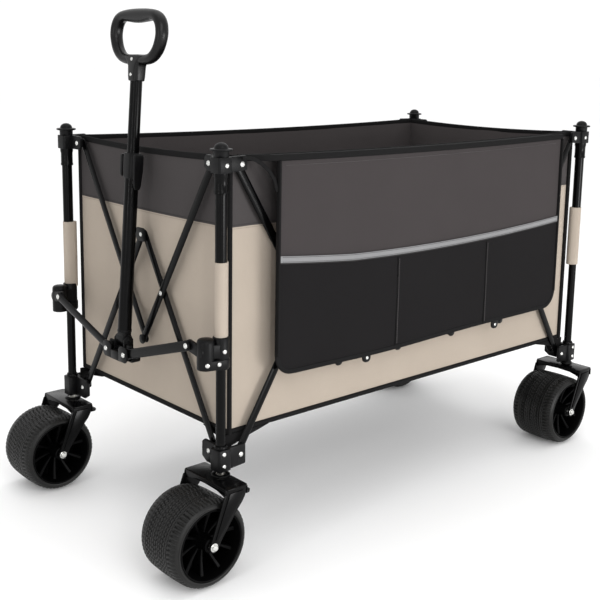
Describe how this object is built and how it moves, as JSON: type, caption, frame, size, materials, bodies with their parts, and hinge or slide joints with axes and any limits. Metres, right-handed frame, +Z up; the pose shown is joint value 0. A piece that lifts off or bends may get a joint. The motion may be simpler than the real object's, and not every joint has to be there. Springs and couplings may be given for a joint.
{
  "type": "beach cart",
  "caption": "Folding fabric wagon with a scissor frame, wide sand wheels, swivelling front casters, a side pocket panel and a telescopic pull handle.",
  "frame": {"origin": "on the floor under the middle of the open cart's bounding box", "axes": "+Z up, +Y to the rear, away from the pull handle, +X to the cart's side with the pocket panel"},
  "size_m": [0.702, 1.303, 1.0563],
  "materials": {
    "tyre_rubber": "matt black moulded tread with fine ribs",
    "rim_plastic": "dark moulded plastic",
    "bar_steel": "gloss black powder coat",
    "frame_steel": "satin black powder coat",
    "fork_steel": "satin black powder coat",
    "pole_steel": "gloss black powder coat",
    "basket_canvas": "beige canvas below a charcoal band, charcoal inside",
    "pocket_canvas": "charcoal and black canvas with a pale reflective strip",
    "grip_plastic": "matt black moulded grip",
    "black_plastic": "matt black moulded plastic"
  },
  "bodies": {
    "frame": {"leg_lower_front_left": "frame_steel", "handle_clamp_left": "black_plastic", "basket": "basket_canvas"},
    "leg_front_right": {"leg_lower_front_right": "frame_steel", "handle_clamp_right": "black_plastic", "side_panel": "pocket_canvas"},
    "leg_rear_left": {"leg_lower_rear_left": "frame_steel", "fork_rear_left": "fork_steel"},
    "leg_rear_right": {"leg_lower_rear_right": "frame_steel", "fork_rear_right": "fork_steel"},
    "leg_upper_front_left": {"leg_upper_front_left": "frame_steel"},
    "caster_front_left": {"fork_front_left": "fork_steel"},
    "brake_front_left": {"brake_lever_front_left": "black_plastic"},
    "wheel_front_left": {"tyre_front_left": "tyre_rubber", "rim_front_left": "rim_plastic"},
    "leg_upper_front_right": {"leg_upper_front_right": "frame_steel"},
    "caster_front_right": {"fork_front_right": "fork_steel"},
    "brake_front_right": {"brake_lever_front_right": "black_plastic"},
    "wheel_front_right": {"tyre_front_right": "tyre_rubber", "rim_front_right": "rim_plastic"},
    "leg_upper_rear_left": {"leg_upper_rear_left": "frame_steel"},
    "wheel_rear_left": {"tyre_rear_left": "tyre_rubber", "rim_rear_left": "rim_plastic"},
    "leg_upper_rear_right": {"leg_upper_rear_right": "frame_steel"},
    "wheel_rear_right": {"tyre_rear_right": "tyre_rubber", "rim_rear_right": "rim_plastic"},
    "bar_front_rising_1": {"bar_front_rising_1": "bar_steel"},
    "bar_front_falling_1": {"bar_front_falling_1": "bar_steel"},
    "bar_front_rising_2": {"bar_front_rising_2": "bar_steel"},
    "bar_front_falling_2": {"bar_front_falling_2": "bar_steel"},
    "bar_rear_rising_1": {"bar_rear_rising_1": "bar_steel"},
    "bar_rear_falling_1": {"bar_rear_falling_1": "bar_steel"},
    "bar_rear_rising_2": {"bar_rear_rising_2": "bar_steel"},
    "bar_rear_falling_2": {"bar_rear_falling_2": "bar_steel"},
    "bar_left_rising_1": {"bar_left_rising_1": "bar_steel"},
    "bar_left_falling_1": {"bar_left_falling_1": "bar_steel"},
    "bar_left_rising_2": {"bar_left_rising_2": "bar_steel"},
    "bar_left_falling_2": {"bar_left_falling_2": "bar_steel"},
    "bar_left_rising_3": {"bar_left_rising_3": "bar_steel"},
    "bar_left_falling_3": {"bar_left_falling_3": "bar_steel"},
    "bar_left_rising_4": {"bar_left_rising_4": "bar_steel"},
    "bar_left_falling_4": {"bar_left_falling_4": "bar_steel"},
    "bar_left_rising_5": {"bar_left_rising_5": "bar_steel"},
    "bar_left_falling_5": {"bar_left_falling_5": "bar_steel"},
    "bar_right_rising_1": {"bar_right_rising_1": "bar_steel"},
    "bar_right_falling_1": {"bar_right_falling_1": "bar_steel"},
    "bar_right_rising_2": {"bar_right_rising_2": "bar_steel"},
    "bar_right_falling_2": {"bar_right_falling_2": "bar_steel"},
    "bar_right_rising_3": {"bar_right_rising_3": "bar_steel"},
    "bar_right_falling_3": {"bar_right_falling_3": "bar_steel"},
    "bar_right_rising_4": {"bar_right_rising_4": "bar_steel"},
    "bar_right_falling_4": {"bar_right_falling_4": "bar_steel"},
    "bar_right_rising_5": {"bar_right_rising_5": "bar_steel"},
    "bar_right_falling_5": {"bar_right_falling_5": "bar_steel"},
    "handle_link_left": {"handle_link_left": "bar_steel"},
    "handle_link_right": {"handle_link_right": "bar_steel"},
    "handle_hub": {"handle_hub": "black_plastic"},
    "pole_outer": {"pole_outer": "pole_steel"},
    "pole_inner": {"pole_inner": "pole_steel", "grip": "grip_plastic"}
  },
  "joints": [
    {"name": "frame_fold", "type": "hinge", "parent": "frame", "child": "bar_front_rising_1", "pos_m": [-0.239, -0.4867, 0.222], "axis": [0, -1, 0], "range_deg": [0, 17.7], "deforming": ["basket", "side_panel"]},
    {"name": "front_cross_1", "type": "hinge", "parent": "bar_front_rising_1", "child": "bar_front_falling_1", "pos_m": [-0.06792, -0.4867, 0.499], "axis": [0, -1, 0], "range_deg": [-35.4, 0]},
    {"name": "front_hub_1", "type": "hinge", "parent": "bar_front_rising_1", "child": "bar_front_falling_2", "pos_m": [0, -0.4867, 0.60897], "axis": [0, -1, 0], "range_deg": [-35.4, 0]},
    {"name": "front_cross_2", "type": "hinge", "parent": "bar_front_falling_2", "child": "bar_front_rising_2", "pos_m": [0.06792, -0.4867, 0.499], "axis": [0, -1, 0], "range_deg": [0, 35.4]},
    {"name": "front_falling_2_pivot", "type": "hinge", "parent": "bar_front_falling_2", "child": "leg_front_right", "pos_m": [0.239, -0.4867, 0.222], "axis": [0, -1, 0], "range_deg": [0, 17.7]},
    {"name": "left_rising_1_pivot", "type": "hinge", "parent": "frame", "child": "bar_left_rising_1", "pos_m": [-0.2772, -0.4625, 0.222], "axis": [1, 0, 0], "range_deg": [0, 17.7]},
    {"name": "left_cross_1", "type": "hinge", "parent": "bar_left_rising_1", "child": "bar_left_falling_1", "pos_m": [-0.2772, -0.29142, 0.499], "axis": [1, 0, 0], "range_deg": [-35.4, 0]},
    {"name": "left_hub_1", "type": "hinge", "parent": "bar_left_rising_1", "child": "bar_left_falling_2", "pos_m": [-0.2772, -0.20269, 0.64267], "axis": [1, 0, 0], "range_deg": [-35.4, 0]},
    {"name": "left_cross_2", "type": "hinge", "parent": "bar_left_falling_2", "child": "bar_left_rising_2", "pos_m": [-0.2772, -0.11396, 0.499], "axis": [1, 0, 0], "range_deg": [0, 35.4]},
    {"name": "left_hub_2", "type": "hinge", "parent": "bar_left_falling_2", "child": "bar_left_rising_3", "pos_m": [-0.2772, -0.02523, 0.35533], "axis": [1, 0, 0], "range_deg": [0, 35.4]},
    {"name": "left_cross_3", "type": "hinge", "parent": "bar_left_rising_3", "child": "bar_left_falling_3", "pos_m": [-0.2772, 0.0635, 0.499], "axis": [1, 0, 0], "range_deg": [-35.4, 0]},
    {"name": "left_hub_3", "type": "hinge", "parent": "bar_left_rising_3", "child": "bar_left_falling_4", "pos_m": [-0.2772, 0.15223, 0.64267], "axis": [1, 0, 0], "range_deg": [-35.4, 0]},
    {"name": "left_cross_4", "type": "hinge", "parent": "bar_left_falling_4", "child": "bar_left_rising_4", "pos_m": [-0.2772, 0.24096, 0.499], "axis": [1, 0, 0], "range_deg": [0, 35.4]},
    {"name": "left_hub_4", "type": "hinge", "parent": "bar_left_falling_4", "child": "bar_left_rising_5", "pos_m": [-0.2772, 0.32969, 0.35533], "axis": [1, 0, 0], "range_deg": [0, 35.4]},
    {"name": "left_cross_5", "type": "hinge", "parent": "bar_left_rising_5", "child": "bar_left_falling_5", "pos_m": [-0.2772, 0.41842, 0.499], "axis": [1, 0, 0], "range_deg": [-35.4, 0]},
    {"name": "left_falling_5_pivot", "type": "hinge", "parent": "bar_left_falling_5", "child": "leg_rear_left", "pos_m": [-0.2772, 0.5895, 0.222], "axis": [1, 0, 0], "range_deg": [0, 17.7]},
    {"name": "rear_rising_1_pivot", "type": "hinge", "parent": "leg_rear_left", "child": "bar_rear_rising_1", "pos_m": [-0.239, 0.6137, 0.222], "axis": [0, -1, 0], "range_deg": [0, 17.7]},
    {"name": "rear_cross_1", "type": "hinge", "parent": "bar_rear_rising_1", "child": "bar_rear_falling_1", "pos_m": [-0.06792, 0.6137, 0.499], "axis": [0, -1, 0], "range_deg": [-35.4, 0]},
    {"name": "rear_hub_1", "type": "hinge", "parent": "bar_rear_rising_1", "child": "bar_rear_falling_2", "pos_m": [0, 0.6137, 0.60897], "axis": [0, -1, 0], "range_deg": [-35.4, 0]},
    {"name": "rear_cross_2", "type": "hinge", "parent": "bar_rear_falling_2", "child": "bar_rear_rising_2", "pos_m": [0.06792, 0.6137, 0.499], "axis": [0, -1, 0], "range_deg": [0, 35.4]},
    {"name": "rear_falling_2_pivot", "type": "hinge", "parent": "bar_rear_falling_2", "child": "leg_rear_right", "pos_m": [0.239, 0.6137, 0.222], "axis": [0, -1, 0], "range_deg": [0, 17.7]},
    {"name": "right_rising_1_pivot", "type": "hinge", "parent": "leg_front_right", "child": "bar_right_rising_1", "pos_m": [0.2772, -0.4625, 0.222], "axis": [1, 0, 0], "range_deg": [0, 17.7]},
    {"name": "right_cross_1", "type": "hinge", "parent": "bar_right_rising_1", "child": "bar_right_falling_1", "pos_m": [0.2772, -0.29142, 0.499], "axis": [1, 0, 0], "range_deg": [-35.4, 0]},
    {"name": "right_hub_1", "type": "hinge", "parent": "bar_right_rising_1", "child": "bar_right_falling_2", "pos_m": [0.2772, -0.20269, 0.64267], "axis": [1, 0, 0], "range_deg": [-35.4, 0]},
    {"name": "right_cross_2", "type": "hinge", "parent": "bar_right_falling_2", "child": "bar_right_rising_2", "pos_m": [0.2772, -0.11396, 0.499], "axis": [1, 0, 0], "range_deg": [0, 35.4]},
    {"name": "right_hub_2", "type": "hinge", "parent": "bar_right_falling_2", "child": "bar_right_rising_3", "pos_m": [0.2772, -0.02523, 0.35533], "axis": [1, 0, 0], "range_deg": [0, 35.4]},
    {"name": "right_cross_3", "type": "hinge", "parent": "bar_right_rising_3", "child": "bar_right_falling_3", "pos_m": [0.2772, 0.0635, 0.499], "axis": [1, 0, 0], "range_deg": [-35.4, 0]},
    {"name": "right_hub_3", "type": "hinge", "parent": "bar_right_rising_3", "child": "bar_right_falling_4", "pos_m": [0.2772, 0.15223, 0.64267], "axis": [1, 0, 0], "range_deg": [-35.4, 0]},
    {"name": "right_cross_4", "type": "hinge", "parent": "bar_right_falling_4", "child": "bar_right_rising_4", "pos_m": [0.2772, 0.24096, 0.499], "axis": [1, 0, 0], "range_deg": [0, 35.4]},
    {"name": "right_hub_4", "type": "hinge", "parent": "bar_right_falling_4", "child": "bar_right_rising_5", "pos_m": [0.2772, 0.32969, 0.35533], "axis": [1, 0, 0], "range_deg": [0, 35.4]},
    {"name": "right_cross_5", "type": "hinge", "parent": "bar_right_rising_5", "child": "bar_right_falling_5", "pos_m": [0.2772, 0.41842, 0.499], "axis": [1, 0, 0], "range_deg": [-35.4, 0]},
    {"name": "front_left_top_pivot", "type": "hinge", "parent": "bar_front_falling_1", "child": "leg_upper_front_left", "pos_m": [-0.239, -0.4867, 0.776], "axis": [0, -1, 0], "range_deg": [0, 17.7]},
    {"name": "front_right_top_pivot", "type": "hinge", "parent": "bar_front_rising_2", "child": "leg_upper_front_right", "pos_m": [0.239, -0.4867, 0.776], "axis": [0, -1, 0], "range_deg": [-17.7, 0]},
    {"name": "rear_left_top_pivot", "type": "hinge", "parent": "bar_rear_falling_1", "child": "leg_upper_rear_left", "pos_m": [-0.239, 0.6137, 0.776], "axis": [0, -1, 0], "range_deg": [0, 17.7]},
    {"name": "rear_right_top_pivot", "type": "hinge", "parent": "bar_rear_rising_2", "child": "leg_upper_rear_right", "pos_m": [0.239, 0.6137, 0.776], "axis": [0, -1, 0], "range_deg": [-17.7, 0]},
    {"name": "handle_link_left_pivot", "type": "hinge", "parent": "frame", "child": "handle_link_left", "pos_m": [-0.241, -0.5521, 0.441], "axis": [0, 1, 0], "range_deg": [0, 51.05]},
    {"name": "handle_hub_left_pivot", "type": "hinge", "parent": "handle_link_left", "child": "handle_hub", "pos_m": [-0.033, -0.5521, 0.3745], "axis": [0, 1, 0], "range_deg": [-51.05, 0]},
    {"name": "handle_hub_right_pivot", "type": "hinge", "parent": "handle_hub", "child": "handle_link_right", "pos_m": [0.033, -0.5521, 0.3745], "axis": [0, 1, 0], "range_deg": [-51.05, 0]},
    {"name": "handle_tilt", "type": "hinge", "parent": "handle_hub", "child": "pole_outer", "pos_m": [0, -0.5365, 0.398], "axis": [1, 0, 0], "range_deg": [0, 105]},
    {"name": "handle_slide", "type": "slide", "parent": "pole_outer", "child": "pole_inner", "axis": [0, 0.0715, 0.9974], "range_m": [-0.125, 0.1]},
    {"name": "swivel_front_left", "type": "hinge", "parent": "frame", "child": "caster_front_left", "pos_m": [-0.28, -0.5025, 0.189], "axis": [0, 0, 1], "continuous": true},
    {"name": "brake_front_left", "type": "hinge", "parent": "caster_front_left", "child": "brake_front_left", "pos_m": [-0.236, -0.4925, 0.1685], "axis": [1, 0, 0], "range_deg": [-25, 0]},
    {"name": "wheel_front_left", "type": "hinge", "parent": "caster_front_left", "child": "wheel_front_left", "pos_m": [-0.28, -0.566, 0.0855], "axis": [1, 0, 0], "continuous": true},
    {"name": "swivel_front_right", "type": "hinge", "parent": "leg_front_right", "child": "caster_front_right", "pos_m": [0.28, -0.5025, 0.189], "axis": [0, 0, 1], "continuous": true},
    {"name": "brake_front_right", "type": "hinge", "parent": "caster_front_right", "child": "brake_front_right", "pos_m": [0.324, -0.4925, 0.1685], "axis": [1, 0, 0], "range_deg": [-25, 0]},
    {"name": "wheel_front_right", "type": "hinge", "parent": "caster_front_right", "child": "wheel_front_right", "pos_m": [0.28, -0.566, 0.0855], "axis": [1, 0, 0], "continuous": true},
    {"name": "wheel_rear_left", "type": "hinge", "parent": "leg_rear_left", "child": "wheel_rear_left", "pos_m": [-0.28, 0.566, 0.0855], "axis": [1, 0, 0], "continuous": true},
    {"name": "wheel_rear_right", "type": "hinge", "parent": "leg_rear_right", "child": "wheel_rear_right", "pos_m": [0.28, 0.566, 0.0855], "axis": [1, 0, 0], "continuous": true}
  ],
  "couplings": [
    {"joint": "front_cross_1", "follows": "frame_fold", "ratio": -2},
    {"joint": "front_hub_1", "follows": "frame_fold", "ratio": -2},
    {"joint": "front_cross_2", "follows": "frame_fold", "ratio": 2},
    {"joint": "front_falling_2_pivot", "follows": "frame_fold", "ratio": 1},
    {"joint": "left_rising_1_pivot", "follows": "frame_fold", "ratio": 1},
    {"joint": "left_cross_1", "follows": "frame_fold", "ratio": -2},
    {"joint": "left_hub_1", "follows": "frame_fold", "ratio": -2},
    {"joint": "left_cross_2", "follows": "frame_fold", "ratio": 2},
    {"joint": "left_hub_2", "follows": "frame_fold", "ratio": 2},
    {"joint": "left_cross_3", "follows": "frame_fold", "ratio": -2},
    {"joint": "left_hub_3", "follows": "frame_fold", "ratio": -2},
    {"joint": "left_cross_4", "follows": "frame_fold", "ratio": 2},
    {"joint": "left_hub_4", "follows": "frame_fold", "ratio": 2},
    {"joint": "left_cross_5", "follows": "frame_fold", "ratio": -2},
    {"joint": "left_falling_5_pivot", "follows": "frame_fold", "ratio": 1},
    {"joint": "rear_rising_1_pivot", "follows": "frame_fold", "ratio": 1},
    {"joint": "rear_cross_1", "follows": "frame_fold", "ratio": -2},
    {"joint": "rear_hub_1", "follows": "frame_fold", "ratio": -2},
    {"joint": "rear_cross_2", "follows": "frame_fold", "ratio": 2},
    {"joint": "rear_falling_2_pivot", "follows": "frame_fold", "ratio": 1},
    {"joint": "right_rising_1_pivot", "follows": "frame_fold", "ratio": 1},
    {"joint": "right_cross_1", "follows": "frame_fold", "ratio": -2},
    {"joint": "right_hub_1", "follows": "frame_fold", "ratio": -2},
    {"joint": "right_cross_2", "follows": "frame_fold", "ratio": 2},
    {"joint": "right_hub_2", "follows": "frame_fold", "ratio": 2},
    {"joint": "right_cross_3", "follows": "frame_fold", "ratio": -2},
    {"joint": "right_hub_3", "follows": "frame_fold", "ratio": -2},
    {"joint": "right_cross_4", "follows": "frame_fold", "ratio": 2},
    {"joint": "right_hub_4", "follows": "frame_fold", "ratio": 2},
    {"joint": "right_cross_5", "follows": "frame_fold", "ratio": -2},
    {"joint": "front_left_top_pivot", "follows": "frame_fold", "ratio": 1},
    {"joint": "front_right_top_pivot", "follows": "frame_fold", "ratio": -1},
    {"joint": "rear_left_top_pivot", "follows": "frame_fold", "ratio": 1},
    {"joint": "rear_right_top_pivot", "follows": "frame_fold", "ratio": -1},
    {"joint": "handle_link_left_pivot", "follows": "frame_fold", "ratio": 2.8843},
    {"joint": "handle_hub_left_pivot", "follows": "frame_fold", "ratio": -2.8843},
    {"joint": "handle_hub_right_pivot", "follows": "frame_fold", "ratio": -2.8843}
  ]
}
